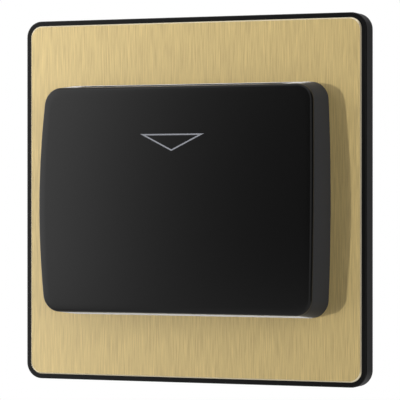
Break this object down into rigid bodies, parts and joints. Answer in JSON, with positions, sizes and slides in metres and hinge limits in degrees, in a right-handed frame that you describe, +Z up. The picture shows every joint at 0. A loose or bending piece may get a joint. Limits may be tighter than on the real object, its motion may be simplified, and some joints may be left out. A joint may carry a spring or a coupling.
{
  "type": "key card switch",
  "caption": "Square wall switch plate with a raised card pocket; a card pushes a sprung lever that works a microswitch and relay module.",
  "frame": {"origin": "midway between the two wall screws, in the plane of the wall", "axes": "+X to the right, +Y into the wall, +Z up; the cover faces -Y"},
  "size_m": [0.095, 0.0438, 0.095],
  "materials": {
    "surround_plastic": "satin moulded",
    "face_brass": "brushed upright",
    "cover_plastic": "fine satin",
    "arrow_print": "flat",
    "zinc_steel": "zinc plated",
    "guide_plastic": "moulded",
    "frame_plastic": "moulded",
    "housing_plastic": "moulded",
    "lever_plastic": "smooth",
    "pin_steel": "ground",
    "spring_steel": "drawn wire",
    "microswitch_plastic": "moulded",
    "button_plastic": "smooth",
    "tinned_brass": "tinned",
    "board_laminate": "lacquered",
    "relay_plastic": "moulded",
    "film_plastic": "smooth",
    "capacitor_sleeve": "shrunk sleeve",
    "varistor_coat": "dipped",
    "fuse_ceramic": "fired",
    "chip_plastic": "moulded",
    "resistor_coat": "lacquered",
    "terminal_plastic": "moulded",
    "terminal_brass": "machined"
  },
  "bodies": {
    "switch_base": {"surround_frame": "surround_plastic", "face_plate": "face_brass", "card_cover": "cover_plastic", "arrow_mark": "arrow_print", "cover_screws": "zinc_steel", "card_guide": "guide_plastic", "guide_screws": "zinc_steel", "mounting_frame": "frame_plastic", "rear_housing": "housing_plastic", "housing_screws": "zinc_steel", "lever_pin": "pin_steel", "return_spring": "spring_steel", "microswitch_body": "microswitch_plastic", "switch_pins": "tinned_brass", "circuit_board": "board_laminate", "relay": "relay_plastic", "film_capacitor": "film_plastic", "electrolytic_capacitor": "capacitor_sleeve", "varistor": "varistor_coat", "fuse": "fuse_ceramic", "rectifier": "chip_plastic", "controller_chip": "chip_plastic", "resistors": "resistor_coat", "terminal_body": "terminal_plastic", "wire_terminals": "terminal_brass", "terminal_screws": "zinc_steel"},
    "lever": {"card_lever": "lever_plastic"},
    "button": {"switch_button": "button_plastic"}
  },
  "joints": [
    {"name": "card_press", "type": "hinge", "parent": "switch_base", "child": "lever", "pos_m": [0, 0.006, -0.017], "axis": [1, 0, 0], "range_deg": [0, 12.8], "stiffness_Nm_per_rad": 0.02, "springref_deg": -8.59, "deforming": ["return_spring"]},
    {"name": "button_press", "type": "slide", "parent": "switch_base", "child": "button", "axis": [0, 0, 1], "range_m": [0, 0.0011], "stiffness_N_per_m": 0.001, "springref_m": 0.2756}
  ],
  "couplings": [
    {"joint": "button_press", "follows": "card_press", "m_per_rad": 0.0048}
  ]
}
